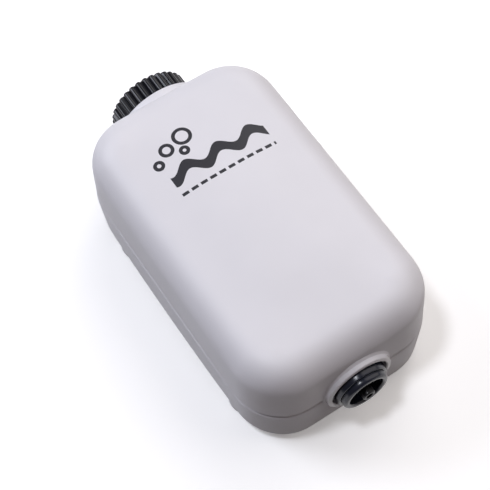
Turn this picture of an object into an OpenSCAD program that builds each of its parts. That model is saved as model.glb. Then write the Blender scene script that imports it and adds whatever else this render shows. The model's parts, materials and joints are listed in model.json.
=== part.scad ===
// Single-outlet aquarium air pump, all sizes in millimetres.
// Front (air outlet) faces -Y, the flow knob faces +Y, and the part stands on its four feet at z = 0.
// The origin lies under the middle of the whole outline.

/* [Housing] */
// Width of the housing across X
body_w = 62; // [62:1:90]
// Length of the housing along Y
body_l = 103; // [103:1:140]
// Height of the lower housing half, bottom to seam
base_h = 17.5; // [17:0.5:24]
// Height of the upper housing half, seam to top
top_h = 23.7; // [21:0.1:32]
// Plan radius of the housing corners
corner_r = 15.5; // [15:0.5:17]
// Rounding of the upper edge
top_edge_r = 12; // [8:0.5:12]
// Rounding of the lower edge
base_edge_r = 3; // [2.5:0.5:4]
// Wall thickness of both halves
wall = 2.2; // [1.8:0.1:2.4]
// Width of the shadow groove along the seam
seam_gap = 0.4; // [0.2:0.1:0.6]
// Thickness of the tongue that locates the halves
tongue_t = 1; // [0.8:0.1:1.2]
// Height of the tongue above the seam
tongue_h = 1.8; // [1:0.1:2.5]

/* [Feet and screws] */
// Radius of each rubber foot
foot_r = 5.3; // [4:0.1:6]
// Distance from the floor to the underside of the housing
foot_drop = 2; // [1.5:0.1:3]
// Place of the front feet along Y, from the housing's middle
foot_front_y = 32; // [28:1:34]
// Place of the rear feet along Y, from the housing's middle
foot_rear_y = 29; // [27:1:32]
// Radius of the housing screws' shanks
screw_r = 1.45; // [1.2:0.05:1.5]

/* [Outlet] */
// Outer radius of the airline nipple
nipple_r = 2; // [2:0.1:2.4]
// Bore radius of the airline nipple
nipple_bore_r = 1.1; // [0.8:0.1:1.2]
// How far the nipple stands out of the front wall
nipple_out = 6.1; // [5:0.1:9]
// Outer radius of the white collar ring
collar_r = 10.7; // [10.2:0.1:11]
// How far the collar ring stands out of the front wall
collar_out = 1.7; // [1.2:0.1:2.4]
// Inner radius of the rubber boot
boot_bore_r = 5.5; // [5:0.1:5.8]
// How far the rubber boot stands out of the front wall
boot_out = 4.9; // [4:0.1:6]

/* [Knob] */
// Radius of the knob over its ribs
knob_r = 13; // [12:0.1:14]
// Length of the knob
knob_l = 8.1; // [7.5:0.1:11]
// Number of grip ribs
knob_ribs = 32; // [24:1:36]
// Radius of the raised round boss behind the knob
boss_r = 16; // [15:0.25:16]
// How far the boss stands out of the rear wall
boss_out = 1; // [0.6:0.1:1.4]
// Radius of the control shaft
shaft_r = 3; // [2.5:0.1:3.1]

/* [Cord gland] */
// Radius of the hole for the mains cord
cord_r = 2.6; // [2.2:0.1:3]
// Place of the gland along Y, from the housing's middle
gland_y = 16; // [14:1:20]
// How far the gland stands out of the right wall
gland_out = 3.4; // [2:0.1:5]

/* [Electromagnet] */
// Length of the core's legs and back bar along Y
core_l = 28; // [26:1:30]
// Width of the core across X
core_w = 36; // [36:1:38]
// Height of the lamination stack
core_h = 14; // [12:1:16]
// Width of the middle leg
leg_w = 9; // [8:0.5:9]
// Air gap between the magnets and the pole faces
air_gap = 1.5; // [1.2:0.1:2]

/* [Pump] */
// Length of the pump chamber along Y
chamber_l = 28; // [27:1:30]
// Height of the pump chamber
chamber_h = 26; // [26:1:27]
// Outer radius of the diaphragm's rim
dia_r = 11; // [10.5:0.1:11.2]
// Outer radius of the hose
hose_r = 3.2; // [3.2:0.1:3.5]
// Bend radius of the hose
hose_bend = 4.5; // [4.2:0.1:5]

/* [Hidden] */
$fn = 64;

white = [0.88, 0.88, 0.90];
black = [0.13, 0.13, 0.14];
rubber = [0.18, 0.19, 0.21];
steel = [0.72, 0.73, 0.75];

// small clearances
slip = 0.05;      // running fit of a shaft in its bore
ease = 0.15;      // pieces that lie side by side
play = 0.3;       // pieces that move past each other
over = 1;         // how far a cutter reaches past what it cuts

// heights, from the floor
base_z = foot_drop;
floor_z = base_z + wall;
seam_z = base_z + base_h;
top_z = seam_z + top_h;
axis_z = seam_z + 0.6;

// inner faces of the walls
in_x = body_w / 2 - wall;
in_y = body_l / 2 - wall;

// where the housing's middle lies in the part's frame
x_mid = gland_out / 2;
knob_start = boss_out + 0.4;
y_mid = (knob_start + knob_l - nipple_out) / 2;

// screws and bosses
boss_x = body_w / 2 - 9.5;
boss_y = body_l / 2 - 9.5;
post_r = 3.6;
head_r = 2.8;
head_h = 2;
screw_seat_z = base_z + 3;
screw_l = 22;

// feet
foot_x = body_w / 2 - 6.4;
stem_r = 1.8;

// outlet
collar_seat_r = collar_r - 1.5;              // recess round the boot's lip
lip_r = collar_r - 2.2;                      // first ring of the boot
lip_out = 2.9;
mouth_r = boot_bore_r + 1.9;                 // second ring of the boot
boot_groove = 0.3;                           // gap between the two rings
boot_neck_r = boot_bore_r + 0.9;
boot_back = wall + 1.5;
boot_floor = 1.6;
seat_out = boot_floor - boot_back;           // inner face of the boot's floor
root_r = nipple_r + 0.2;                     // stub that the hose pushes onto
hose_bore_r = root_r + 0.03;
nozzle_back = boot_back + 5;
hose_start_y = -body_l / 2 + boot_back + 1.7;
bend_y = -body_l / 2 + nozzle_back + 0.3;

// pump chamber, its front face tied to the hose's end
cup_x = 4;                                   // diaphragm side of the chamber
cup_depth = 3;
body_t = 10;                                 // thickness of the valve body
gasket_t = 0.6;
cover_t = 8.4;
pocket_t = 5;
stub_l = 3;
port_x = cup_x + body_t + gasket_t + 2.6;
chamber_y0 = bend_y + 2 * hose_bend + stub_l;
pump_y = chamber_y0 + chamber_l / 2;
chamber_z0 = axis_z - chamber_h / 2;
valve_dy = 4.6;                              // valve holes each side of the pump's axis
valve_r = 1.8;
bolt_r = 1.2;
bolt_dy = chamber_l / 2 - 2.8;
bolt_dz = chamber_h / 2 - 2.8;
clamp_t = 1.6;
rim_t = 1.2;
cup_r = dia_r - 1.6;
bead_up = 3.4;                               // flap beads above the pump's axis
inlet_bead_x = cup_x + cup_depth - 0.3;
outlet_bead_x = cup_x + body_t + 0.3;

// lever
lever_x = -6.5;
lever_t = 3;
pivot_y = -body_l / 2 + 13.5;
pin_r = 1.5;
hub_r = 3.2;
hub_h = 13;
magnet_t = 3;
magnet_w = 4.9;
magnet_h = 12;

// circuit board and electromagnet, tied to the rear wall
pot_l = 7.8;
board_t = 1.6;
board_w = 34;
board_y = in_y - pot_l - board_t;
board_z0 = floor_z + 2;
board_z1 = axis_z + 14;
core_y1 = board_y - 5.4;
core_y0 = core_y1 - core_l;
bar_w = 6;
magnet_y1 = core_y0 - air_gap;
bobbin_y0 = core_y0 + 1.5;
bobbin_y1 = core_y1 - bar_w - 1;
spool_gap = 0.2;
spool_t = 1;
flange_w = core_w - 2 * bar_w - 0.6;
flange_h = core_h + 13;
core_screw_x = 13;
core_screw_r = 1.5;
lead_x = 3;                                  // coil wires each side of the coil's axis
lead_z = axis_z + core_h / 2 + 5.5;
lead_r = 0.5;

// intake
felt_r = 6.5;
intake_x = in_x - felt_r - 2.3;
intake_y = chamber_y0 + chamber_l + felt_r + 4.8;

gland_neck_r = cord_r + 0.7;
gland_flange_r = cord_r + 1.8;

// ---------- helpers ----------

// moves the housing's middle to its place in the part's frame
module placed() {
    translate([-x_mid, -y_mid, 0]) children();
}

// stands a shape on the front wall, its +Z pointing out of the outlet
module on_front() {
    translate([0, -body_l / 2, axis_z]) rotate([90, 0, 0]) children();
}

// stands a shape on the rear wall, its +Z pointing out along the knob's axis
module on_rear() {
    translate([0, body_l / 2, axis_z]) rotate([-90, 0, 0]) children();
}

// stands a shape on the right wall, its +Z pointing out of the gland
module on_right() {
    translate([body_w / 2, gland_y, seam_z]) rotate([0, 90, 0]) children();
}

// half section of a rounded wall: r wide, h high, upper outer edge rounded by e
module edge_profile(r, h, e) {
    square([r - e, h]);
    square([r, h - e]);
    translate([r - e, h - e]) intersection() {
        circle(e);
        square(e);
    }
}

// rounded box on z = 0, its upper edge rounded by e and its corners by r
module pillow(w, l, h, r, e) {
    straight_x = w / 2 - r;
    straight_y = l / 2 - r;
    translate([-straight_x, -straight_y, 0]) cube([2 * straight_x, 2 * straight_y, h]);
    for (turn = [0, 180]) rotate(turn) {
        translate([straight_x, straight_y, 0]) rotate([90, 0, 0])
            linear_extrude(2 * straight_y) edge_profile(r, h, e);
        translate([-straight_x, straight_y, 0]) rotate([90, 0, 90])
            linear_extrude(2 * straight_x) edge_profile(r, h, e);
        translate([straight_x, straight_y, 0]) rotate_extrude(angle = 90) edge_profile(r, h, e);
        translate([-straight_x, straight_y, 0]) rotate(90) rotate_extrude(angle = 90)
            edge_profile(r, h, e);
    }
}

// straight prism with rounded corners on z = 0
module rounded_block(w, l, h, r) {
    linear_extrude(h) {
        square([w - 2 * r, l], center = true);
        square([w, l - 2 * r], center = true);
        for (x = [-1, 1], y = [-1, 1])
            translate([x * (w / 2 - r), y * (l / 2 - r)]) circle(r);
    }
}

// disc on z = 0 with its upper edge rounded
module soft_disc(r, h, e) {
    rotate_extrude() edge_profile(r, h, e);
}

// tube on z = 0
module tube(r_out, r_in, h) {
    difference() {
        cylinder(r = r_out, h = h);
        translate([0, 0, -over]) cylinder(r = r_in, h = h + 2 * over);
    }
}

// housing outline grown inward by inset, as a straight ring or block
module plan_block(inset, h) {
    rounded_block(body_w - 2 * inset, body_l - 2 * inset, h, corner_r - inset);
}

module at_housing_screws() {
    for (x = [-1, 1], y = [-1, 1]) translate([x * boss_x, y * boss_y, 0]) children();
}

module at_feet() {
    for (x = [-1, 1], y = [-foot_front_y, foot_rear_y]) translate([x * foot_x, y, 0]) children();
}

module at_core_screws() {
    for (x = [-1, 1]) translate([lever_x + x * core_screw_x, core_y1 - bar_w / 2, 0]) children();
}

module at_chamber_bolts() {
    for (y = [-1, 1], z = [-1, 1])
        translate([0, pump_y + y * bolt_dy, axis_z + z * bolt_dz]) rotate([0, 90, 0]) children();
}

// screw on its shank's axis: head from z = 0 down, shank up, cross slot in the head
module machine_screw(r, length, r_head, h_head) {
    difference() {
        union() {
            cylinder(r = r, h = length);
            mirror([0, 0, 1]) soft_disc(r_head, h_head, h_head * 0.4);
        }
        for (turn = [0, 90]) rotate(turn)
            translate([-r_head * 0.65, -r_head * 0.13, -h_head - over])
                cube([r_head * 1.3, r_head * 0.26, over + h_head * 0.55]);
    }
}

// round features of both halves: collar, knob boss and what passes through the walls
module wall_rings() {
    on_front() translate([0, 0, -wall / 2]) soft_disc(collar_r, wall / 2 + collar_out, 1);
    on_rear() translate([0, 0, -wall / 2]) soft_disc(boss_r, wall / 2 + boss_out, 0.5);
}

module wall_holes() {
    on_front() {
        cylinder(r = boot_neck_r + slip, h = collar_out + over);
        translate([0, 0, -wall - over]) cylinder(r = boot_neck_r + slip, h = wall + 2 * over);
        cylinder(r = collar_seat_r, h = collar_out + over);
    }
    on_rear() translate([0, 0, -wall - over])
        cylinder(r = shaft_r + 0.6, h = wall + boss_out + 2 * over);
    on_right() translate([0, 0, -wall - tongue_h])
        cylinder(r = gland_neck_r, h = wall + tongue_h + over);
}

// ---------- housing ----------

module top_shell() placed() color(white) {
    lower = seam_z + seam_gap / 2;
    difference() {
        union() {
            difference() {
                union() {
                    translate([0, 0, seam_z]) pillow(body_w, body_l, top_h, corner_r, top_edge_r);
                    wall_rings();
                }
                translate([0, 0, seam_z - over])
                    pillow(body_w - 2 * wall, body_l - 2 * wall, top_h - wall + over,
                           corner_r - wall, top_edge_r - wall);
            }
            // screw posts and the rib that holds the chamber down
            intersection() {
                at_housing_screws() translate([0, 0, seam_z]) cylinder(r = post_r, h = top_h);
                translate([0, 0, seam_z])
                    pillow(body_w - wall, body_l - wall, top_h - wall / 2,
                           corner_r - wall / 2, top_edge_r - wall / 2);
            }
            translate([cup_x + 4, pump_y - 1, axis_z + chamber_h / 2 + ease])
                cube([10, 2, top_z - wall / 2 - axis_z - chamber_h / 2 - ease]);
        }
        // everything under the seam
        translate([-body_w, -body_l, -over]) cube([2 * body_w, 2 * body_l, lower + over]);
        // rebate for the tongue
        difference() {
            translate([0, 0, lower - over])
                plan_block(wall - tongue_t - 0.1, tongue_h + over);
            at_housing_screws() cylinder(r = post_r, h = top_z);
            translate([0, 0, -over]) plan_block(wall + over, top_z);
        }
        wall_holes();
        at_housing_screws() translate([0, 0, seam_z - over])
            cylinder(r = screw_r, h = screw_seat_z + screw_l - seam_z + over + 1);
    }
}

module base_shell() placed() color(white) {
    difference() {
        union() {
            difference() {
                union() {
                    translate([0, 0, seam_z]) mirror([0, 0, 1])
                        pillow(body_w, body_l, base_h, corner_r, base_edge_r);
                    wall_rings();
                    translate([0, 0, floor_z]) plan_block(wall - tongue_t, base_h - wall + tongue_h);
                    // pads that the feet plug into
                    at_feet() translate([0, 0, base_z - 0.6])
                        cylinder(r = foot_r + 0.2, h = base_edge_r + 0.6);
                }
                translate([0, 0, seam_z + over * 4]) mirror([0, 0, 1])
                    pillow(body_w - 2 * wall, body_l - 2 * wall, base_h - wall + over * 4,
                           corner_r - wall, base_edge_r - wall / 2);
                // rings keep to their side of the seam
                translate([0, 0, seam_z - seam_gap / 2]) difference() {
                    translate([-body_w, -body_l, 0]) cube([2 * body_w, 2 * body_l, top_z]);
                    translate([0, 0, -over]) plan_block(wall - tongue_t, over + tongue_h + seam_gap / 2);
                }
            }
            at_housing_screws() translate([0, 0, base_z + 1])
                cylinder(r = post_r, h = seam_z - base_z - 1 - seam_gap / 2);
            // posts under the core: two for its screws, two under its outer legs
            at_core_screws() translate([0, 0, floor_z - wall / 2])
                cylinder(r = 2.8, h = axis_z - core_h / 2 - floor_z + wall / 2);
            for (x = [-1, 1])
                translate([lever_x + x * (core_w - bar_w) / 2, core_y0 + 5, floor_z - wall / 2])
                    cylinder(r = 2.5, h = axis_z - core_h / 2 - floor_z + wall / 2);
            // post for the lever's pivot pin
            translate([lever_x, pivot_y, floor_z - wall / 2])
                cylinder(r = hub_r, h = axis_z - hub_h / 2 - play - floor_z + wall / 2);
            // cradle ribs at both ends of the chamber
            for (y = [chamber_y0 - ease - 1.6, chamber_y0 + chamber_l + ease])
                translate([cup_x + 2, y, floor_z - wall / 2]) cube([16, 1.6, 8 + wall / 2]);
            // guides for the circuit board
            for (x = [-1, 1])
                translate([x * (board_w / 2 - 1) - 1.5, board_y - 1.6, floor_z - wall / 2])
                    cube([3, board_t + 3.2, 5 + wall / 2]);
            // ring round the intake felt
            translate([intake_x, intake_y, floor_z - wall / 2])
                tube(felt_r + 1.2, felt_r + slip, 4 + wall / 2);
        }
        wall_holes();
        // screws come up from below
        at_housing_screws() {
            translate([0, 0, -over]) cylinder(r = head_r + 0.4, h = screw_seat_z + over);
            cylinder(r = screw_r + 0.15, h = seam_z + over);
        }
        at_feet() cylinder(r = stem_r, h = floor_z + over);
        at_core_screws() translate([0, 0, floor_z]) cylinder(r = core_screw_r, h = axis_z);
        translate([lever_x, pivot_y, floor_z]) cylinder(r = pin_r, h = axis_z);
        translate([-board_w / 2 - ease, board_y, board_z0])
            cube([board_w + 2 * ease, board_t, axis_z]);
        // intake grille
        translate([intake_x, intake_y, -over]) {
            cylinder(r = 1.1, h = floor_z + 2 * over);
            for (turn = [0:60:300]) rotate(turn) translate([3.8, 0, 0])
                cylinder(r = 1.1, h = floor_z + 2 * over);
        }
    }
}

module housing_screws() placed() color(steel)
    at_housing_screws() translate([0, 0, screw_seat_z])
        machine_screw(screw_r, screw_l, head_r, head_h);

module rubber_feet() placed() color(rubber)
    at_feet() {
        pad_h = base_z - 0.6;
        translate([0, 0, pad_h]) mirror([0, 0, 1]) soft_disc(foot_r, pad_h, 0.6);
        cylinder(r = stem_r, h = floor_z + 0.5);
        translate([0, 0, floor_z]) soft_disc(stem_r + 0.4, 1.6, 0.6);
    }

module cord_gland() placed() color(rubber)
    on_right() difference() {
        union() {
            soft_disc(gland_flange_r, gland_out, 1);
            translate([0, 0, -wall - 1.6]) cylinder(r = gland_neck_r, h = wall + 1.6 + over);
            translate([0, 0, -wall - 1.6]) cylinder(r = gland_flange_r - 0.3, h = 1.6);
        }
        translate([0, 0, -wall - 1.6 - over]) cylinder(r = cord_r, h = wall + gland_out + 4 * over);
    }

// ---------- outlet ----------

module outlet_boot() placed() color(rubber)
    on_front() difference() {
        union() {
            // lip in the collar, groove and rounded mouth
            soft_disc(lip_r, lip_out, 0.5);
            cylinder(r = mouth_r - 0.2, h = lip_out + 2 * boot_groove);
            translate([0, 0, lip_out + boot_groove])
                soft_disc(mouth_r, boot_out - lip_out - boot_groove, 0.6);
            translate([0, 0, -boot_back]) cylinder(r = boot_neck_r, h = boot_back + 0.5);
            translate([0, 0, -boot_back]) cylinder(r = boot_neck_r + 1.2, h = boot_back - wall - slip);
        }
        translate([0, 0, seat_out]) cylinder(r = boot_bore_r, h = boot_back + boot_out);
        translate([0, 0, -boot_back - over]) cylinder(r = root_r, h = boot_floor + 2 * over);
    }

module outlet_nozzle() placed() color(black)
    on_front() difference() {
        union() {
            translate([0, 0, -nozzle_back]) cylinder(r = root_r, h = nozzle_back + seat_out);
            translate([0, 0, seat_out]) soft_disc(nipple_r, nipple_out - seat_out, 0.4);
            translate([0, 0, -boot_back - 1.4]) cylinder(r = root_r + 2.4, h = 1.4 - slip);
        }
        translate([0, 0, -nozzle_back - over])
            cylinder(r = nipple_bore_r, h = nozzle_back + nipple_out + 2 * over);
    }

// quarter bend of the hose in the XY plane, from +X round to +Y
module hose_bend_piece() {
    rotate_extrude(angle = 90) translate([hose_bend, 0]) difference() {
        circle(hose_r);
        circle(hose_bore_r);
    }
}

module hose_straight(length) {
    rotate([-90, 0, 0]) tube(hose_r, hose_bore_r, length);
}

module outlet_hose() placed() color(rubber)
    translate([0, 0, axis_z]) {
        translate([0, hose_start_y, 0]) hose_straight(bend_y - hose_start_y);
        translate([hose_bend, bend_y, 0]) rotate(90) hose_bend_piece();
        translate([hose_bend, bend_y + hose_bend, 0]) rotate(-90)
            hose_straight(port_x - 2 * hose_bend);
        translate([port_x - hose_bend, bend_y + 2 * hose_bend, 0]) rotate(-90) hose_bend_piece();
        translate([port_x, bend_y + 2 * hose_bend, 0]) hose_straight(stub_l - ease);
    }

// ---------- flow control ----------

module control_knob() placed() color(black)
    on_rear() translate([0, 0, knob_start]) difference() {
        union() {
            soft_disc(knob_r - 0.7, knob_l, 1.2);
            intersection() {
                soft_disc(knob_r, knob_l - 0.2, 1.2);
                for (i = [0:knob_ribs - 1]) rotate(i * 360 / knob_ribs)
                    translate([knob_r - 0.65, 0, 0]) cylinder(r = 0.65, h = knob_l, $fn = 24);
            }
        }
        // hollow skirt round a hub with a D-shaped socket
        translate([0, 0, -over]) tube(knob_r - 3, shaft_r + 2, over + knob_l - 3);
        translate([0, 0, -over]) cylinder(r = shaft_r + 3, h = over + 2.4);
        translate([0, 0, -over]) d_shaft(shaft_r, knob_l - 1);
        translate([-0.6, 5, knob_l - 0.5]) cube([1.2, 5, over]);
    }

// round bar with a flat on one side, from z = 0 to h + over
module d_shaft(r, h) {
    intersection() {
        cylinder(r = r, h = h + over);
        translate([-2 * r, -2 * r, 0]) cube([4 * r, 3 * r - 0.9, h + over]);
    }
}

module pot_shaft() placed() color(steel)
    on_rear() {
        translate([0, 0, -pot_l]) cylinder(r = shaft_r, h = pot_l + knob_start + 2);
        translate([0, 0, knob_start + 2]) d_shaft(shaft_r, knob_l - 3.2 - over);
    }

module pot_body() placed() color([0.35, 0.36, 0.38])
    on_rear() difference() {
        union() {
            translate([0, 0, -wall - pot_l]) cylinder(r = 8, h = pot_l);
            translate([0, 0, -wall - 1]) cylinder(r = shaft_r + 0.55, h = wall + 1 + boss_out + 2.3);
            translate([-6, -11, -wall - pot_l]) cube([12, 11, 1.6]);
        }
        translate([0, 0, -pot_l - slip]) cylinder(r = shaft_r + slip, h = 3 * pot_l);
    }

module pot_nut() placed() color(steel)
    on_rear() translate([0, 0, boss_out]) difference() {
        intersection_for (turn = [0, 60, 120]) rotate(turn)
            translate([-shaft_r - 2, -10, 0]) cube([2 * shaft_r + 4, 20, 1.8]);
        translate([0, 0, -over]) cylinder(r = shaft_r + 0.55, h = 4);
    }

module circuit_board() placed() color([0.10, 0.35, 0.18])
    difference() {
        translate([-board_w / 2, board_y, board_z0]) cube([board_w, board_t, board_z1 - board_z0]);
        // holes for the coil's two wires
        for (x = [-lead_x, lead_x]) translate([lever_x + x, board_y - over, lead_z])
            rotate([-90, 0, 0]) cylinder(r = lead_r, h = board_t + 2 * over);
    }

module triac() placed() color(black)
    translate([9.8, board_y + board_t, axis_z - 1]) {
        cube([5, 4.5, 9]);
        for (x = [0.9, 2.5, 4.1]) translate([x, 2.2, -3]) cylinder(r = 0.35, h = 3.2);
        translate([0.5, 0, -3]) cube([4, 2.6, 0.6]);
    }

module capacitor() placed() color([0.80, 0.66, 0.18])
    translate([-13.4, board_y + board_t + 3.2, axis_z - 9]) rounded_block(6, 6.4, 12, 0.8);

module resistors() placed() color([0.72, 0.60, 0.42])
    for (x = [-15, -11]) translate([x, board_y + board_t + 1.6, axis_z + 4.5]) {
        cylinder(r = 1.1, h = 6);
        for (z = [-0.9, 6]) {
            translate([0, 0, z]) cylinder(r = 0.35, h = 0.9);
            translate([0, 0, z + 0.45]) rotate([90, 0, 0]) cylinder(r = 0.3, h = 1.6);
        }
    }

module terminal_block() placed() color([0.15, 0.45, 0.25])
    translate([6.4, board_y + board_t, board_z0 + 0.8]) difference() {
        cube([8, 7, 7]);
        for (x = [2.2, 5.8]) {
            translate([x, 3.5, 4.2]) cylinder(r = 1.2, h = 7);
            translate([x - 1, 3, 1]) cube([2, 8, 2.5]);
        }
    }

module intake_filter() placed() color([0.75, 0.75, 0.72])
    translate([intake_x, intake_y, floor_z]) soft_disc(felt_r, 3, 0.4);

// ---------- electromagnet ----------

module core_stack() placed() color([0.40, 0.41, 0.43])
    difference() {
        translate([lever_x, 0, axis_z - core_h / 2]) {
            translate([-core_w / 2, core_y1 - bar_w, 0]) cube([core_w, bar_w, core_h]);
            for (x = [-core_w / 2, core_w / 2 - bar_w])
                translate([x, core_y0, 0]) cube([bar_w, core_l - bar_w, core_h]);
            translate([-leg_w / 2, core_y0, 0]) cube([leg_w, core_l - bar_w, core_h]);
        }
        at_core_screws() cylinder(r = core_screw_r + 0.1, h = top_z);
    }

module core_screws() placed() color(steel)
    at_core_screws() translate([0, 0, axis_z + core_h / 2]) mirror([0, 0, 1])
        machine_screw(core_screw_r, core_h + 7, 2.7, 1.8);

module coil_bobbin() placed() color([0.85, 0.83, 0.76])
    translate([lever_x, 0, axis_z]) difference() {
        union() {
            for (y = [bobbin_y0, bobbin_y1 - 1.2])
                translate([-flange_w / 2, y, -flange_h / 2]) cube([flange_w, 1.2, flange_h]);
            translate([-leg_w / 2 - spool_gap - spool_t, bobbin_y0, -core_h / 2 - spool_gap - spool_t])
                cube([leg_w + 2 * (spool_gap + spool_t), bobbin_y1 - bobbin_y0,
                      core_h + 2 * (spool_gap + spool_t)]);
        }
        translate([-leg_w / 2 - spool_gap, 0, -core_h / 2 - spool_gap])
            cube([leg_w + 2 * spool_gap, body_l, core_h + 2 * spool_gap]);
    }

module coil_winding() placed() color([0.62, 0.30, 0.14])
    translate([lever_x, bobbin_y1 - 1.2 - slip, axis_z]) rotate([90, 0, 0]) difference() {
        rounded_block(flange_w - 1, flange_h - 1, bobbin_y1 - bobbin_y0 - 2.4 - 2 * slip, 3);
        translate([0, 0, -over]) linear_extrude(body_l)
            square([leg_w + 2 * (spool_gap + spool_t + slip),
                    core_h + 2 * (spool_gap + spool_t + slip)], center = true);
    }

module coil_leads() placed() color([0.75, 0.15, 0.12])
    for (x = [-lead_x, lead_x]) translate([lever_x + x, bobbin_y1, lead_z])
        rotate([-90, 0, 0]) cylinder(r = lead_r, h = board_y + board_t - bobbin_y1);

// ---------- armature ----------

module lever_arm() placed() color([0.85, 0.83, 0.76])
    translate([0, 0, axis_z]) difference() {
        end_y = magnet_y1 - magnet_t;
        union() {
            translate([lever_x, pivot_y, -hub_h / 2]) cylinder(r = hub_r, h = hub_h);
            translate([lever_x - lever_t / 2, pivot_y, -5]) cube([lever_t, end_y - pivot_y, 10]);
            translate([lever_x - leg_w / 2 - 1, end_y - 1.6, -hub_h / 2])
                cube([leg_w + 2, 1.6, hub_h]);
        }
        translate([lever_x, pivot_y, -hub_h]) cylinder(r = pin_r + slip, h = 2 * hub_h);
        translate([lever_x - lever_t, pump_y, 0]) rotate([0, 90, 0])
            cylinder(r = 1.5, h = 3 * lever_t);
    }

module lever_magnets() placed() color([0.30, 0.30, 0.32])
    for (x = [-magnet_w - 0.1, 0.1])
        translate([lever_x + x, magnet_y1 - magnet_t, axis_z - magnet_h / 2])
            cube([magnet_w, magnet_t, magnet_h]);

module pivot_pin() placed() color(steel)
    translate([lever_x, pivot_y, floor_z]) difference() {
        cylinder(r = pin_r, h = axis_z + hub_h / 2 + 2 - floor_z);
        // groove for the clip
        translate([0, 0, axis_z + hub_h / 2 + play - floor_z])
            tube(pin_r + over, pin_r - 0.4, 0.6);
    }

module pin_clip() placed() color(steel)
    translate([lever_x, pivot_y, axis_z + hub_h / 2 + play]) difference() {
        cylinder(r = pin_r + 1.4, h = 0.6);
        translate([0, 0, -over]) cylinder(r = pin_r - 0.4, h = 3);
        translate([-0.9, 0, -over]) cube([1.8, 5, 3]);
    }

// ---------- pump ----------

module diaphragm() placed() color(rubber)
    translate([cup_x, pump_y, axis_z]) rotate([0, -90, 0])
        // rim, cone and hub in one section; +Z here runs towards the lever
        rotate_extrude() polygon([
            [1.5, 4.6], [4.6, 4.6], [cup_r - 1, rim_t], [dia_r, rim_t], [dia_r, 0],
            [cup_r - 1.2, 0], [4.4, 3.6], [1.5, 3.6]
        ]);

module diaphragm_clamp() placed() color([0.85, 0.83, 0.76])
    difference() {
        translate([cup_x - rim_t - clamp_t, chamber_y0, chamber_z0])
            cube([clamp_t, chamber_l, chamber_h]);
        translate([cup_x - over * 4, pump_y, axis_z]) rotate([0, 90, 0])
            cylinder(r = cup_r, h = 5 * over);
        at_chamber_bolts() translate([0, 0, -over]) cylinder(r = bolt_r + 0.1, h = 2 * cup_x);
    }

module diaphragm_disc() placed() color([0.85, 0.83, 0.76])
    translate([cup_x - 3.6, pump_y, axis_z]) rotate([0, 90, 0]) difference() {
        soft_disc(3.8, 1.2, 0.4);
        translate([0, 0, -over]) cylinder(r = 1.5, h = 4);
    }

module diaphragm_screw() placed() color(steel)
    translate([lever_x - lever_t / 2, pump_y, axis_z]) rotate([0, 90, 0])
        machine_screw(1.5, cup_x - 2.4 - lever_x + lever_t / 2, 2.6, 1.6);

// rectangle of the chamber in the YZ plane, grown to +X by t from x
module chamber_slab(x, t) {
    translate([x, chamber_y0, chamber_z0]) cube([t, chamber_l, chamber_h]);
}

// a valve hole's axis, +X up; side -1 is the outlet, 1 the inlet
module at_valve(side, x) {
    translate([x, pump_y + side * valve_dy, axis_z]) rotate([0, 90, 0]) children();
}

// flap valve hung from a bead along Y; the plate lies on the -X or +X side of the bead
module flap(side) {
    translate([0, pump_y + side * valve_dy, axis_z + bead_up]) {
        translate([0, 2.8, 0]) rotate([90, 0, 0]) cylinder(r = 0.5, h = 5.6, $fn = 32);
        translate([side > 0 ? -0.35 : -0.15, -2.8, -6.4]) cube([0.5, 5.6, 6.4]);
    }
}

module chamber_body() placed() color([0.20, 0.21, 0.23])
    difference() {
        chamber_slab(cup_x, body_t);
        // the cup, kept clear of the rim that seals on it
        translate([cup_x - over, pump_y, axis_z]) rotate([0, 90, 0])
            cylinder(r = cup_r - 1, h = cup_depth + over);
        for (side = [-1, 1]) at_valve(side, 0) cylinder(r = valve_r, h = cup_x + body_t + over);
        // grooves that hold the flaps' beads
        translate([inlet_bead_x, pump_y + valve_dy + 3, axis_z + bead_up])
            rotate([90, 0, 0]) cylinder(r = 0.6, h = 6, $fn = 32);
        translate([outlet_bead_x, pump_y - valve_dy + 3, axis_z + bead_up])
            rotate([90, 0, 0]) cylinder(r = 0.6, h = 6, $fn = 32);
        at_chamber_bolts() cylinder(r = bolt_r + 0.1, h = 3 * cup_x + body_t);
    }

module chamber_gasket() placed() color([0.55, 0.12, 0.10])
    difference() {
        chamber_slab(cup_x + body_t, gasket_t);
        chamber_pockets(cup_x + body_t - over, gasket_t + 2 * over);
        at_chamber_bolts() cylinder(r = bolt_r + 0.1, h = 3 * cup_x + body_t);
    }

// the two plenums, inlet and outlet, as cutters
module chamber_pockets(x, t) {
    translate([x, pump_y - valve_dy - 4.4, axis_z - 5.5]) cube([t, 8, 11]);
    translate([x, pump_y + valve_dy - 3.6, axis_z - 5.5]) cube([t, 8, 11]);
}

module chamber_cover() placed() color([0.20, 0.21, 0.23]) {
    x0 = cup_x + body_t + gasket_t;
    difference() {
        union() {
            chamber_slab(x0, cover_t);
            translate([port_x, chamber_y0 - stub_l, axis_z]) rotate([-90, 0, 0])
                cylinder(r = root_r, h = stub_l + 1);
        }
        chamber_pockets(x0 - over, pocket_t + over);
        // way out to the hose and way in from the housing
        translate([port_x, chamber_y0 - stub_l - over, axis_z]) rotate([-90, 0, 0])
            cylinder(r = nipple_bore_r, h = chamber_l / 2);
        at_valve(1, x0 + 1) cylinder(r = 1.5, h = cover_t);
        at_chamber_bolts() cylinder(r = bolt_r, h = x0 + cover_t - 1.5);
    }
}

module chamber_screws() placed() color(steel)
    at_chamber_bolts() translate([0, 0, cup_x - rim_t - clamp_t])
        machine_screw(bolt_r, rim_t + clamp_t + body_t + gasket_t + 5, 2.1, 1.5);

module chamber_pads() placed() color(rubber)
    for (x = [cup_x + 4, cup_x + 15], y = [4, chamber_l - 4])
        translate([x, chamber_y0 + y, floor_z]) cylinder(r = 2.4, h = chamber_z0 - floor_z);

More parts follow.
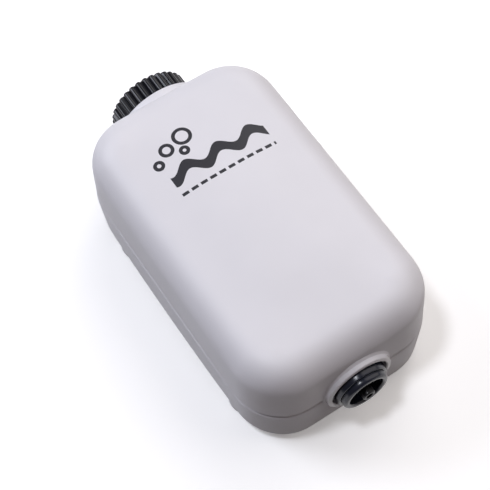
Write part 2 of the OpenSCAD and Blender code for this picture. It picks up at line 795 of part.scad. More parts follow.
module inlet_flap() placed() color([0.08, 0.08, 0.09])
    translate([inlet_bead_x, 0, 0]) flap(1);

module outlet_flap() placed() color([0.08, 0.08, 0.09])
    translate([outlet_bead_x, 0, 0]) flap(-1);

top_shell();
base_shell();
housing_screws();
rubber_feet();
cord_gland();
outlet_boot();
outlet_nozzle();
outlet_hose();
control_knob();
pot_shaft();
pot_body();
pot_nut();
circuit_board();
triac();
capacitor();
resistors();
terminal_block();
intake_filter();
core_stack();
core_screws();
coil_bobbin();
coil_winding();
coil_leads();
lever_arm();
lever_magnets();
pivot_pin();
pin_clip();
diaphragm();
diaphragm_clamp();
diaphragm_disc();
diaphragm_screw();
chamber_body();
chamber_gasket();
chamber_cover();
chamber_screws();
chamber_pads();
inlet_flap();
outlet_flap();
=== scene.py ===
# Single-outlet aquarium air pump: the looks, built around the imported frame.
import json
import math
import bmesh
import bpy
from mathutils import Matrix, Vector


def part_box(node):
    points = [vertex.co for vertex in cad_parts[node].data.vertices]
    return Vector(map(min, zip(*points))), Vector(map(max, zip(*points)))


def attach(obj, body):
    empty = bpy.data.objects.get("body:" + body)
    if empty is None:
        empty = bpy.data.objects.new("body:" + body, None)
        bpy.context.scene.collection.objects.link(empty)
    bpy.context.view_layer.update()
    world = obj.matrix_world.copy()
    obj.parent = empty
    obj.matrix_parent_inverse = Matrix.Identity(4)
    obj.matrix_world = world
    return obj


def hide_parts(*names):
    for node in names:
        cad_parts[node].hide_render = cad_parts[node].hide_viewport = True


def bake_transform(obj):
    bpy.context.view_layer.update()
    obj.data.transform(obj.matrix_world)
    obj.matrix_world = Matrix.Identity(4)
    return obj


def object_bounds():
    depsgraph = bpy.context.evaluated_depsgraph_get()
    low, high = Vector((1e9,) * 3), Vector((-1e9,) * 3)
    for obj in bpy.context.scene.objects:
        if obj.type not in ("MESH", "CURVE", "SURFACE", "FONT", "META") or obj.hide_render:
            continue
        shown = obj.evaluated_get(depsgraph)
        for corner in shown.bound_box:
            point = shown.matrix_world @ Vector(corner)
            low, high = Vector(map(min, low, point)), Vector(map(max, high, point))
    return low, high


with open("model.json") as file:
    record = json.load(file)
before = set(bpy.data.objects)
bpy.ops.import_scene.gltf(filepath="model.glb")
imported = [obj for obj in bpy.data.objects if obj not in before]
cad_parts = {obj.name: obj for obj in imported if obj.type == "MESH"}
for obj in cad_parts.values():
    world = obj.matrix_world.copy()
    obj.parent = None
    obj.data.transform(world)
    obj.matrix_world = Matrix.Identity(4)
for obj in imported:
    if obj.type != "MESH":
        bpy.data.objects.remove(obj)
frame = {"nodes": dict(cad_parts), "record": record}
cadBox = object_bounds()
mm = 0.001
print("frame loaded")


# places, all taken from the frame
def corners(node):
    low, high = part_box(node)
    return Vector(low), Vector(high)


topLow, topHigh = corners("top_shell")
knobLow = corners("control_knob")[0]
bootLow = corners("outlet_boot")[0]
nozzleLow, nozzleHigh = corners("outlet_nozzle")
glandLow, glandHigh = corners("cord_gland")
feetLow, feetHigh = corners("rubber_feet")
screwLow, screwHigh = corners("housing_screws")

housing = {
    "cornerRadius": 15.5 * mm,
    "wall": 2.2 * mm,
    "seamGap": 0.4 * mm,
    "baseDrop": 0.36 * mm,        # middle of the seam down to the base's rim
    "rimRounding": 0.12 * mm,
    "footDrop": 2.0 * mm,         # floor to the housing's underside
    "bootOut": 4.9 * mm,          # front wall to the end of the boot
    "knobGap": 1.4 * mm,          # rear wall to the start of the knob
    "glandOut": 3.4 * mm,         # right wall to the end of the gland
    "motifDepth": 6.0 * mm,       # how far below the top the print may reach
}
lid = {
    "rounding": 9.9 * mm,
    "crown": 1.9 * mm,            # how far it swells in the middle
    "draft": 0.46 * mm,           # lean of the walls towards the closed side
    "lip": (0.14, 0.1, 1.3),      # inset at the seam, further inset past the lip, height, in mm
    "tuck": 0.0,                  # how much rounder the corners are at the closed side
    "bow": 0.0,                   # how far the closed side narrows from the middle to the corners
}
base = {
    "rounding": 2.8 * mm,
    "crown": 0.0,
    "draft": 0.5 * mm,
    "lip": (0.3, -0.3, 2.1),
    "tuck": 0.5 * mm,
    "bow": 0.5 * mm,
}
midX = (topLow.x + topHigh.x) / 2
width = topHigh.x - topLow.x
frontY = bootLow.y + housing["bootOut"]
rearY = knobLow.y - housing["knobGap"]
midY = (frontY + rearY) / 2
length = rearY - frontY
seamZ = topLow.z - housing["seamGap"] / 2
topZ = topHigh.z
baseZ = feetLow.z + housing["footDrop"]
axisZ = (nozzleLow.z + nozzleHigh.z) / 2
outwards = Vector((0, -1, 0))     # out of the air outlet
rearwards = Vector((0, 1, 0))     # out along the knob
sideways = Vector((1, 0, 0))      # out of the cord gland
upwards = Vector((0, 0, 1))
outletFoot = Vector((midX, frontY, axisZ))
knobFoot = Vector((midX, knobLow.y, axisZ))


# ways of working


def clearSelection():
    if bpy.context.object and bpy.context.object.mode != "OBJECT":
        bpy.ops.object.mode_set(mode="OBJECT")
    bpy.ops.object.select_all(action="DESELECT")


def activate(obj):
    clearSelection()
    obj.select_set(True)
    bpy.context.view_layer.objects.active = obj


def editMode(obj):
    activate(obj)
    bpy.ops.object.mode_set(mode="EDIT")
    bpy.ops.mesh.select_mode(type="VERT")


def selectWhole():
    bpy.ops.mesh.select_all(action="SELECT")


def objectMode():
    bpy.ops.object.mode_set(mode="OBJECT")


def settle(obj):
    activate(obj)
    bpy.ops.object.transform_apply(location=True, rotation=True, scale=True)
    return obj


def pick(kind, test):
    # selects the vertices, edges or faces of the edited mesh that pass the test
    bpy.ops.mesh.select_mode(type=kind)
    bpy.ops.mesh.select_all(action="DESELECT")
    mesh = bpy.context.object.data
    work = bmesh.from_edit_mesh(mesh)
    found = 0
    for item in {"VERT": work.verts, "EDGE": work.edges, "FACE": work.faces}[kind]:
        if test(item):
            item.select_set(True)
            found += 1
    work.select_flush_mode()
    bmesh.update_edit_mesh(mesh)
    return found


def isUpright(edge):
    return abs(edge.verts[0].co.z - edge.verts[1].co.z) > 1 * mm


def useModifier(obj, kind, **settings):
    activate(obj)
    made = obj.modifiers.new(kind.lower(), kind)
    for key, value in settings.items():
        setattr(made, key, value)
    bpy.ops.object.modifier_apply(modifier=made.name)


def addBox(name, low, high):
    clearSelection()
    bpy.ops.mesh.primitive_cube_add(size=1, location=(low + high) / 2, scale=high - low)
    bpy.context.object.name = name
    return settle(bpy.context.object)


def addRod(name, radius, start, axis, depth, vertices=64):
    clearSelection()
    bpy.ops.mesh.primitive_cylinder_add(
        vertices=vertices, radius=radius, depth=depth,
        location=start + axis * depth / 2, rotation=axis.to_track_quat("Z", "Y").to_euler())
    bpy.context.object.name = name
    return settle(bpy.context.object)


def cutAway(obj, tool):
    useModifier(obj, "BOOLEAN", operation="DIFFERENCE", solver="EXACT", object=tool)
    bpy.data.objects.remove(tool)


def joinInto(obj, others):
    activate(obj)
    for other in others:
        other.select_set(True)
    bpy.ops.object.join()
    return obj


def softShade(obj, degrees=32):
    activate(obj)
    bpy.ops.object.shade_smooth_by_angle(angle=math.radians(degrees))


def roundedOutline(outline, steps=5):
    # corners given a third number are rounded by it; the outline is a closed loop
    points = []
    count = len(outline)
    for i, corner in enumerate(outline):
        here = Vector(corner[:2])
        radius = corner[2] if len(corner) > 2 else 0
        if radius <= 0:
            points.append(here)
            continue
        before = (Vector(outline[i - 1][:2]) - here).normalized()
        after = (Vector(outline[(i + 1) % count][:2]) - here).normalized()
        half = before.angle(after) / 2
        reach = radius / math.tan(half)
        centre = here + (before + after).normalized() * radius / math.sin(half)
        first = here + before * reach - centre
        last = here + after * reach - centre
        for k in range(steps + 1):
            turned = first.lerp(last, k / steps).normalized() * radius
            points.append(centre + turned)
    return points


def lathe(name, outline, foot, axis, steps=96, arc=5):
    # draws the outline (radius, height), in mm, point by point and spins it round the axis
    across = axis.orthogonal().normalized()
    drawn = [foot + across * p.x * mm + axis * p.y * mm for p in roundedOutline(outline, arc)]
    clearSelection()
    bpy.ops.mesh.primitive_plane_add(size=mm, location=drawn[0])
    obj = bpy.context.object
    obj.name = name
    settle(obj)
    editMode(obj)
    selectWhole()
    bpy.ops.mesh.merge(type="CENTER")
    for here, there in zip(drawn, drawn[1:] + drawn[:1]):
        bpy.ops.mesh.extrude_region_move(TRANSFORM_OT_translate={"value": there - here})
    selectWhole()
    bpy.ops.mesh.remove_doubles(threshold=0.001 * mm)
    selectWhole()
    bpy.ops.mesh.spin(steps=steps, angle=2 * math.pi, center=foot, axis=axis)
    selectWhole()
    bpy.ops.mesh.remove_doubles(threshold=0.001 * mm)
    bpy.ops.mesh.normals_make_consistent(inside=False)
    objectMode()
    return obj


def keepSide(obj, z, upper):
    # keeps what lies above or below the level z, closed where it was cut
    editMode(obj)
    selectWhole()
    bpy.ops.mesh.bisect(plane_co=(0, 0, z), plane_no=upwards, use_fill=True,
                        clear_inner=upper, clear_outer=not upper, threshold=1e-7)
    objectMode()
    return obj


def finishPiece(obj, body, material, nodes=(), degrees=32):
    softShade(obj, degrees)
    obj.data.materials.clear()
    obj.data.materials.append(material)
    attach(obj, body)
    if nodes:
        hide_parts(*nodes)


# materials


def linear(code):
    # sRGB hex to linear colour
    channels = [int(code[i:i + 2], 16) / 255 for i in (0, 2, 4)]
    return tuple(c / 12.92 if c <= 0.04045 else ((c + 0.055) / 1.055) ** 2.4 for c in channels) + (1,)


def addNode(tree, kind, settings=None, links=None):
    made = tree.nodes.new("ShaderNode" + kind)
    for key, value in (settings or {}).items():
        if isinstance(key, int) or key in made.inputs:
            made.inputs[key].default_value = value
        else:
            setattr(made, key, value)
    for key, socket in (links or {}).items():
        tree.links.new(socket, made.inputs[key])
    return made


def startMaterial(name, code, roughness, **settings):
    material = bpy.data.materials.new(name)
    material.use_nodes = True
    tree = material.node_tree
    tree.nodes.clear()
    shader = addNode(tree, "BsdfPrincipled", {"Base Color": linear(code), "Roughness": roughness})
    for key, value in settings.items():
        shader.inputs[key.replace("_", " ")].default_value = value
    addNode(tree, "OutputMaterial", links={"Surface": shader.outputs["BSDF"]})
    place = addNode(tree, "TexCoord").outputs["Object"]
    return material, tree, shader, place


def noiseAt(tree, place, size, detail=2.0, rough=0.5):
    # noise whose features are about this many mm across
    return addNode(tree, "TexNoise", {"Scale": 1 / (size * mm), "Detail": detail, "Roughness": rough},
                   {"Vector": place})


def spread(tree, socket, low, high, fromLow=0.3, fromHigh=0.7):
    return addNode(tree, "MapRange", {"From Min": fromLow, "From Max": fromHigh,
                                      "To Min": low, "To Max": high}, {"Value": socket}).outputs["Result"]


def mixColours(tree, factor, first, second):
    made = addNode(tree, "Mix", {"data_type": "RGBA"})
    for key, value in (("Factor", factor), ("A", first), ("B", second)):
        socket = next(s for s in made.inputs
                      if s.name == key and s.type == ("VALUE" if key == "Factor" else "RGBA"))
        if isinstance(value, bpy.types.NodeSocket):
            tree.links.new(value, socket)
        else:
            socket.default_value = value
    return next(s for s in made.outputs if s.type == "RGBA")


def addBump(tree, shader, socket, height, before=None):
    # height in mm between the lowest and highest point of the pattern
    made = addNode(tree, "Bump", {"Strength": 1.0, "Distance": height * mm}, {"Height": socket})
    if before:
        tree.links.new(before, made.inputs["Normal"])
    tree.links.new(made.outputs["Normal"], shader.inputs["Normal"])
    return made.outputs["Normal"]


def plainSurface(name, code, shade, roughness, grain, relief, patch=14.0, **settings):
    # colour that drifts a little over patches, roughness that varies, and a fine grain in relief
    material, tree, shader, place = startMaterial(name, code, roughness, **settings)
    drift = noiseAt(tree, place, patch, 3.0)
    colour = mixColours(tree, spread(tree, drift.outputs["Fac"], 0, 1), linear(code), linear(shade))
    tree.links.new(colour, shader.inputs["Base Color"])
    fine = noiseAt(tree, place, grain, 4.0, 0.6)
    rough = spread(tree, fine.outputs["Fac"], roughness * 0.85, min(1, roughness * 1.2))
    tree.links.new(rough, shader.inputs["Roughness"])
    addBump(tree, shader, fine.outputs["Fac"], relief)
    return material


print("helpers ready")

# the housing's two halves

motif = {
    "ink": "1c1c26",
    "bubbles": [(-4.0, 31.3, 2.5), (-10.2, 29.6, 1.8), (-14.6, 26.4, 1.2), (-5.9, 26.6, 1.1)],
    "bubbleLine": 1.1,                  # bubbles are x, y and radius, all in mm
    "wave": (20.6, 1.6, 10.6, 3.6),     # y, swing, wavelength and thickness in mm
    "dashedLine": (14.3, 1.0),          # y and thickness in mm
    "dash": (3.1, 0.68),                # pitch in mm and its inked share
    "ends": (-14.2, 17.4),
}


def printedMotif(tree, place):
    # four rings over a wave and a dashed line, as a mask that is 1 where there is ink
    flat = addNode(tree, "VectorMath", {"operation": "MULTIPLY_ADD", 1: (1 / mm, 1 / mm, 0),
                                        2: (-midX / mm, -midY / mm, 0)}, {0: place}).outputs[0]
    parts = addNode(tree, "SeparateXYZ", links={0: flat}).outputs
    masks = []

    def calculate(operation, first, second=None, clamp=False):
        made = addNode(tree, "Math", {"operation": operation, "use_clamp": clamp})
        for index, value in enumerate((first, second)):
            if isinstance(value, bpy.types.NodeSocket):
                tree.links.new(value, made.inputs[index])
            elif value is not None:
                made.inputs[index].default_value = value
        return made.outputs[0]

    for x, y, radius in motif["bubbles"]:
        away = addNode(tree, "VectorMath", {"operation": "DISTANCE", 1: (x, y, 0)}, {0: flat})
        edge = calculate("ABSOLUTE", calculate("SUBTRACT", away.outputs["Value"], radius))
        masks.append(calculate("LESS_THAN", edge, motif["bubbleLine"] / 2))
    left, right = motif["ends"]
    inside = calculate("MULTIPLY", calculate("GREATER_THAN", parts["X"], left),
                       calculate("LESS_THAN", parts["X"], right))
    y, swing, wavelength, thickness = motif["wave"]
    angle = calculate("MULTIPLY", parts["X"], 2 * math.pi / wavelength)
    crest = calculate("MULTIPLY", calculate("SINE", angle), swing)
    off = calculate("SUBTRACT", calculate("SUBTRACT", parts["Y"], y), crest)
    wave = calculate("LESS_THAN", calculate("ABSOLUTE", off), thickness / 2)
    y, thickness = motif["dashedLine"]
    pitch, share = motif["dash"]
    off = calculate("ABSOLUTE", calculate("SUBTRACT", parts["Y"], y))
    line = calculate("LESS_THAN", off, thickness / 2)
    along = calculate("FRACT", calculate("DIVIDE", calculate("SUBTRACT", parts["X"], left), pitch))
    dashes = calculate("MULTIPLY", line, calculate("LESS_THAN", along, share))
    masks += [calculate("MULTIPLY", band, inside) for band in (wave, dashes)]
    total = masks[0]
    for mask in masks[1:]:
        total = calculate("ADD", total, mask, clamp=True)
    height = addNode(tree, "SeparateXYZ", links={0: place}).outputs["Z"]
    onLid = calculate("GREATER_THAN", height, topZ - housing["motifDepth"])
    return calculate("MULTIPLY", total, onLid)


def mouldedAbs():
    # injection-moulded ABS: pale and satin, with the faint sink and flow marks of a moulding, and
    # polished on the collar that stands out of the front wall
    material, tree, shader, place = startMaterial("mouldedAbs", "dddce0", 0.36, IOR=1.52)
    flow = noiseAt(tree, place, 22.0, 2.0)
    tone = mixColours(tree, spread(tree, flow.outputs["Fac"], 0, 1), linear("dedde2"), linear("dad9de"))
    ink = printedMotif(tree, place)
    tree.links.new(mixColours(tree, ink, tone, linear(motif["ink"])), shader.inputs["Base Color"])
    fine = noiseAt(tree, place, 0.35, 3.0)           # spark-eroded mould texture, about 0.35 mm
    rough = spread(tree, fine.outputs["Fac"], 0.43, 0.52)
    front = addNode(tree, "SeparateXYZ", links={0: place}).outputs["Y"]
    polish = spread(tree, front, 0.45, 1.0, frontY - 0.2 * mm, frontY - 0.1 * mm)
    worked = addNode(tree, "Math", {"operation": "MULTIPLY"}, {0: rough, 1: polish})
    tree.links.new(worked.outputs[0], shader.inputs["Roughness"])
    sink = addBump(tree, shader, flow.outputs["Fac"], 0.12)
    addBump(tree, shader, fine.outputs["Fac"], 0.004, sink)
    return material


def addShell(name, low, high, upper):
    # a rounded half: block, rounded corners and edge, shaped walls, then a thickness and soft rims
    half = lid if upper else base
    rounding, corner = half["rounding"], housing["cornerRadius"]
    inset, flare, lipHeight = [value * mm for value in half["lip"]]
    closedZ = high.z if upper else low.z
    rimZ = low.z if upper else high.z
    towards = 1 if upper else -1
    obj = addBox(name, low, high)
    editMode(obj)
    pick("EDGE", isUpright)
    bpy.ops.mesh.bevel(offset=corner, segments=10, affect="EDGES", clamp_overlap=False)
    pick("EDGE", lambda e: all(abs(v.co.z - closedZ) < 1e-6 for v in e.verts))
    bpy.ops.mesh.bevel(offset=rounding, segments=8, affect="EDGES", clamp_overlap=False)
    middle = Vector((midX, midY, rimZ))
    slices = [(upwards, towards * lipHeight * share) for share in (0.35, 0.7, 1)]
    slices += [(rearwards, y * mm) for y in (-30, -20, -10, 0, 10, 20, 30)]
    slices += [(sideways, x * mm) for x in (-10, -5, 0, 5, 10)]
    for normal, offset in slices:
        selectWhole()
        bpy.ops.mesh.bisect(plane_co=middle + normal * offset, plane_no=normal, threshold=1e-6)
    pick("FACE", lambda f: f.normal.z * towards < -0.99)
    bpy.ops.mesh.delete(type="FACE")
    objectMode()
    # the crown lowers everything towards the edge, the draft and the lip lean the walls, and
    # the tuck and the bow narrow the sides towards the ends
    reachX = width / 2 - rounding
    reachY = length / 2 - rounding
    depth = abs(closedZ - rimZ)
    for vertex in obj.data.vertices:
        x, y = vertex.co.x - midX, vertex.co.y - midY
        share = min(1, max(abs(x) / reachX, abs(y) / reachY))
        rise = abs(vertex.co.z - rimZ) / depth
        lean = half["draft"] * rise + inset + flare * (1 - (1 - min(1, rise * depth / lipHeight)) ** 2)
        cornerX = max(0, abs(x) - (width / 2 - corner))
        cornerY = max(0, abs(y) - (length / 2 - corner))
        turn = math.atan2(cornerY, cornerX)
        pull = (half["tuck"] * rise * (math.cos(turn) + math.sin(turn) - 1)
                * min(1, math.hypot(cornerX, cornerY) / corner))
        narrow = half["bow"] * rise * min(1, abs(y) / (length / 2 - corner)) ** 2
        vertex.co.z -= towards * half["crown"] * share ** 2 * rise
        vertex.co.x -= (lean + narrow) * x / (width / 2) + math.copysign(pull * math.cos(turn), x)
        vertex.co.y -= lean * y / (length / 2)
    useModifier(obj, "SOLIDIFY", thickness=housing["wall"], offset=-1, use_even_offset=True)
    editMode(obj)
    pick("EDGE", lambda e: len(e.link_faces) == 2
         and abs(abs(e.link_faces[0].normal.z) - abs(e.link_faces[1].normal.z)) > 0.8
         and all(abs(v.co.z - rimZ) < 0.5 * mm for v in e.verts))
    bpy.ops.mesh.bevel(offset=housing["rimRounding"], segments=2, affect="EDGES")
    objectMode()
    useModifier(obj, "SUBSURF", levels=2, render_levels=2)
    return obj


ring = {"radius": 10.7, "out": 1.6, "inner": 9.2}     # the collar round the outlet, in mm
boss = {"radius": 16.0, "out": 1.0, "hole": 3.6}      # the disc under the knob, in mm
passage = {"neck": 6.45 * mm, "bush": 3.6 * mm, "gland": 3.3 * mm, "depth": 8 * mm, "glandDepth": 9 * mm}


def addCollar():
    inner, outer, out = ring["inner"], ring["radius"], ring["out"]
    outline = [(inner, -1.2), (outer + 1.0, -1.2), (outer + 1.0, -0.5), (outer + 0.2, 0.1, 0.45),
               (outer - 0.05, out - 0.25, 0.45), (inner + 0.35, out, 0.3), (inner, out - 0.3, 0.15)]
    return lathe("collar", outline, outletFoot, outwards, 128, 6)


def addBoss():
    inner, outer, out = boss["hole"], boss["radius"], boss["out"]
    outline = [(inner, -2.0), (outer, -2.0), (outer, out, 0.5), (inner, out)]
    return lathe("boss", outline, Vector((midX, rearY, axisZ)), rearwards, 160)


def cutPassages(obj):
    # holes for the boot's neck, the control's bush and the gland
    depth = passage["depth"]
    cutAway(obj, addRod("cutter", passage["neck"], outletFoot + outwards * 3 * mm, -outwards, depth, 96))
    cutAway(obj, addRod("cutter", passage["bush"], knobFoot, -rearwards, depth))
    start = Vector((glandHigh.x, (glandLow.y + glandHigh.y) / 2, seamZ))
    cutAway(obj, addRod("cutter", passage["gland"], start, -sideways, passage["glandDepth"]))


def fourPlaces(low, high, radius):
    # the middles of four like round pieces, from the box round all of them
    return [Vector((x, y, low.z)) for x in (low.x + radius, high.x - radius)
            for y in (low.y + radius, high.y - radius)]


fixings = {
    "headRadius": 2.8 * mm,       # screw heads
    "footRadius": 5.3 * mm,
    "wellRadius": 3.2 * mm,       # holes in the base that the heads go into
    "postRadius": 3.6 * mm,       # posts in the lid that the screws bite in
    "postHeight": 16 * mm,
}
screwPlaces = fourPlaces(screwLow, screwHigh, fixings["headRadius"])
footPlaces = fourPlaces(feetLow, feetHigh, fixings["footRadius"])

shellPlastic = mouldedAbs()
rimUp = upwards * housing["seamGap"] / 2
topShell = addShell("topShell", Vector((midX - width / 2, frontY, seamZ)) + rimUp,
                    Vector((midX + width / 2, rearY, topZ)), True)
cutPassages(topShell)
posts = [addRod("post", fixings["postRadius"], Vector((p.x, p.y, seamZ)) + rimUp, upwards,
                fixings["postHeight"]) for p in screwPlaces]
joinInto(topShell, [keepSide(addCollar(), seamZ, True), keepSide(addBoss(), seamZ, True)] + posts)
finishPiece(topShell, "housing", shellPlastic, ["top_shell"])
print("top shell built")

grille = {"hole": 1.1 * mm, "circle": 3.8 * mm, "around": 6}      # holes round one in the middle
tongueSize = {
    "inset": 1.25 * mm,
    "below": 4 * mm,          # below and above the seam
    "above": 1.8 * mm,
    "corner": 14.2 * mm,
    "wall": 0.95 * mm,
}

baseShell = addShell("baseShell", Vector((midX - width / 2, frontY, baseZ)),
                     Vector((midX + width / 2, rearY, seamZ - housing["baseDrop"])), False)
cutPassages(baseShell)
for place in screwPlaces:
    start = Vector((place.x, place.y, 0))
    cutAway(baseShell, addRod("cutter", fixings["wellRadius"], start, upwards, 6 * mm))
filterLow, filterHigh = corners("intake_filter")
intake = (filterLow + filterHigh) / 2
for turn in range(grille["around"] + 1):
    reach = grille["circle"] if turn < grille["around"] else 0
    angle = turn * 2 * math.pi / grille["around"]
    spot = Vector((intake.x + reach * math.cos(angle), intake.y + reach * math.sin(angle), 0))
    cutAway(baseShell, addRod("cutter", grille["hole"], spot, upwards, 8 * mm, 32))

# the tongue stands inside the seam, so no light comes through it
inset = tongueSize["inset"]
tongue = addBox("tongue", Vector((midX - width / 2 + inset, frontY + inset, seamZ - tongueSize["below"])),
                Vector((midX + width / 2 - inset, rearY - inset, seamZ + tongueSize["above"])))
editMode(tongue)
pick("EDGE", isUpright)
bpy.ops.mesh.bevel(offset=tongueSize["corner"], segments=16, affect="EDGES", clamp_overlap=False)
pick("FACE", lambda f: abs(f.normal.z) > 0.99)
bpy.ops.mesh.delete(type="FACE")
objectMode()
useModifier(tongue, "SOLIDIFY", thickness=tongueSize["wall"], offset=-1, use_even_offset=True)
cutPassages(tongue)

# wells for the screws and seats for the feet, as outlines in mm
wellOutline = [(1.7, 3.0), (3.2, 3.0), (3.2, 0.4), (3.6, 0.4), (3.6, 16.8, 0.3), (1.7, 16.8)]
padOutline = [(1.8, -0.6), (5.5, -0.6, 0.15), (5.5, 2.6), (1.8, 2.6)]
wells = [lathe("well", wellOutline, Vector((p.x, p.y, baseZ)), upwards, 48) for p in screwPlaces]
pads = [lathe("pad", padOutline, Vector((p.x, p.y, baseZ)), upwards, 64) for p in footPlaces]
joinInto(baseShell, [keepSide(addCollar(), seamZ, False), keepSide(addBoss(), seamZ, False), tongue]
         + wells + pads)
finishPiece(baseShell, "housing", shellPlastic, ["base_shell"])
print("base shell built")

# outlet: soft boot and hard nipple

# dip-moulded soft PVC: dark with a blue cast, and smooth enough to show a lamp as a streak
bootRubber = plainSurface("softPvc", "1f232f", "252a37", 0.2, 0.5, 0.003, Specular_IOR_Level=0.45)
# injection-moulded black ABS: near black, with a dim, even sheen
blackAbs = plainSurface("blackAbs", "121215", "17171b", 0.3, 0.5, 0.004, Specular_IOR_Level=0.3)

boot = lathe("outletBoot", [
    (2.2, -3.7), (7.6, -3.7, 0.2), (7.6, -2.25, 0.2), (6.4, -2.25), (6.4, 0.05, 0.1),
    (8.5, 0.05, 0.2), (8.15, 2.95, 0.35), (7.2, 3.0, 0.1), (7.2, 3.25, 0.1),
    (7.55, 3.35, 0.2), (7.3, 4.9, 0.95), (5.6, 4.9, 0.6), (5.5, -2.1), (2.2, -2.1)],
    outletFoot, outwards, 128, 6)
finishPiece(boot, "housing", bootRubber, ["outlet_boot"])

nozzle = lathe("outletNozzle", [
    (1.1, -8.7), (2.2, -8.7, 0.3), (2.2, -5.1), (4.6, -5.1, 0.2), (4.6, -3.75, 0.2), (2.2, -3.75),
    (2.2, -2.1), (2.0, -2.1), (2.0, 6.1, 0.45), (1.1, 6.1, 0.2)], outletFoot, outwards, 64, 4)
finishPiece(nozzle, "housing", blackAbs, ["outlet_nozzle"])
print("outlet built")

# flow knob

knob = {
    "ribs": 32,
    "stepsPerRib": 10,
    "radius": 12.95,            # over the ribs, in mm, as all below
    "root": 11.95,              # between the ribs
    "ribStart": 10.9,           # radius where the ribs fade out on the end face
    "length": 8.1,
    "groove": [(-0.55, 6.6, 4.4), (0.55, 9.0, 9.2)],      # the pointer, from the knob's foot
}


def knobPlastic():
    # black moulded ABS with a satin sheen that catches the light along each rib
    return plainSurface("satinBlackAbs", "131319", "19191f", 0.2, 0.4, 0.003, Specular_IOR_Level=0.4)


def addKnob():
    outer, high, start = knob["root"], knob["length"], knob["ribStart"]
    obj = lathe("flowKnob", [
        (3.0, 7.1), (3.0, 2.4), (5.0, 2.4, 0.2), (5.0, 5.1), (9.6, 5.1), (9.6, 0), (outer, 0, 0.25),
        (outer, 2.0), (outer, 4.0), (outer, 6.0), (outer, high, 0.8), (10.2, high, 0.4),
        (9.6, high - 0.35, 0.3), (4.0, high - 0.45), (0, high - 0.45), (0, 7.1)],
        knobFoot, rearwards, knob["ribs"] * knob["stepsPerRib"], 5)
    rise = knob["radius"] - outer
    for vertex in obj.data.vertices:
        away = vertex.co - knobFoot
        away.y = 0
        radius = away.length / mm
        if radius < start:
            continue
        turn = math.atan2(away.z, away.x) * knob["ribs"] / (2 * math.pi)
        wave = abs(math.cos(turn * math.pi))          # a round rib each whole turn
        crest = rise * min(1, max(0, wave - 0.2) / 0.7) ** 0.75
        share = min(1, (radius - start) / (outer - start))
        grown = (radius + crest * share) / radius
        vertex.co.x = knobFoot.x + (vertex.co.x - knobFoot.x) * grown
        vertex.co.z = knobFoot.z + (vertex.co.z - knobFoot.z) * grown
    low, high = [knobFoot + Vector(corner) * mm for corner in knob["groove"]]
    cutAway(obj, addBox("cutter", low, high))
    return obj


flowKnob = addKnob()
finishPiece(flowKnob, "knob", knobPlastic(), ["control_knob"], 40)
print("knob built")

# feet, gland and screws

# moulded black rubber: deep and matt, with hardly any glint
footRubber = plainSurface("blackRubber", "1c1c1e", "232325", 0.62, 0.6, 0.01, IOR=1.5)
feet = [lathe("foot", [(0, 0.25), (3.2, 0.25, 0.2), (3.5, 0, 0.2), (5.2, 0, 0.45), (5.3, 1.35, 0.2),
                       (1.75, 1.4), (1.75, 4.2), (2.2, 4.25, 0.2), (2.15, 5.4, 0.5), (0, 5.7)],
              p, upwards, 64, 4) for p in footPlaces]
joinInto(feet[0], feet[1:])
feet[0].name = "rubberFeet"
finishPiece(feet[0], "housing", footRubber, ["rubber_feet"])

glandFoot = Vector((glandHigh.x - housing["glandOut"], (glandLow.y + glandHigh.y) / 2, seamZ))
gland = lathe("cordGland", [
    (2.6, -3.8), (4.1, -3.8, 0.2), (4.1, -2.25, 0.2), (3.25, -2.25), (3.25, 0.05), (4.4, 0.05, 0.2),
    (4.4, 1.5, 0.4), (3.7, 1.8, 0.2), (3.6, 3.4, 0.4), (2.6, 3.4, 0.15)], glandFoot, sideways, 72, 4)
finishPiece(gland, "housing", bootRubber, ["cord_gland"])

# cold-formed and zinc-plated steel: cool and bright, its reflections softened by the plating
zincSteel = plainSurface("zincPlatedSteel", "c4c6ca", "b4b7bd", 0.28, 0.25, 0.003, Metallic=1.0)

screw = {                       # all in mm
    "root": 1.15,
    "crest": 1.42,
    "pitch": 0.9,
    "threadFrom": 4.0,          # from the end of the head
    "threadTo": 21.0,
    "recess": [(-0.35, -1.7, -0.5), (0.35, 1.7, 1.1)],      # one arm of the cross
}


def addScrew(name, place):
    # pan head downwards, cross recess, and a shank with cutting threads and a point
    root, z = screw["root"], screw["threadFrom"]
    thread = []
    while z < screw["threadTo"]:
        thread += [(root, z), (screw["crest"], z + 0.35)]
        z += screw["pitch"]
    head = [(0, 0), (2.0, 0, 0.5), (2.75, 1.3, 0.4), (2.75, 2.0, 0.15), (1.25, 2.0)]
    obj = lathe(name, head + thread + [(root, 21.5), (0.3, 23.9), (0, 24.0)], place, upwards, 40, 3)
    arm = [Vector(corner) for corner in screw["recess"]]
    for low, high in (arm, [corner.yxz for corner in arm]):
        cutAway(obj, addBox("cutter", place + low * mm, place + high * mm))
    return obj


screws = [addScrew("screw", p) for p in screwPlaces]
joinInto(screws[0], screws[1:])
screws[0].name = "housingScrews"
finishPiece(screws[0], "housing", zincSteel, ["housing_screws"])
print("feet, gland and screws built")

# soft pieces inside: diaphragm and hose

hose = {"radius": 3.2 * mm, "wall": 0.97 * mm, "bend": 4.5 * mm, "stub": 2.85 * mm, "arcSteps": 10}


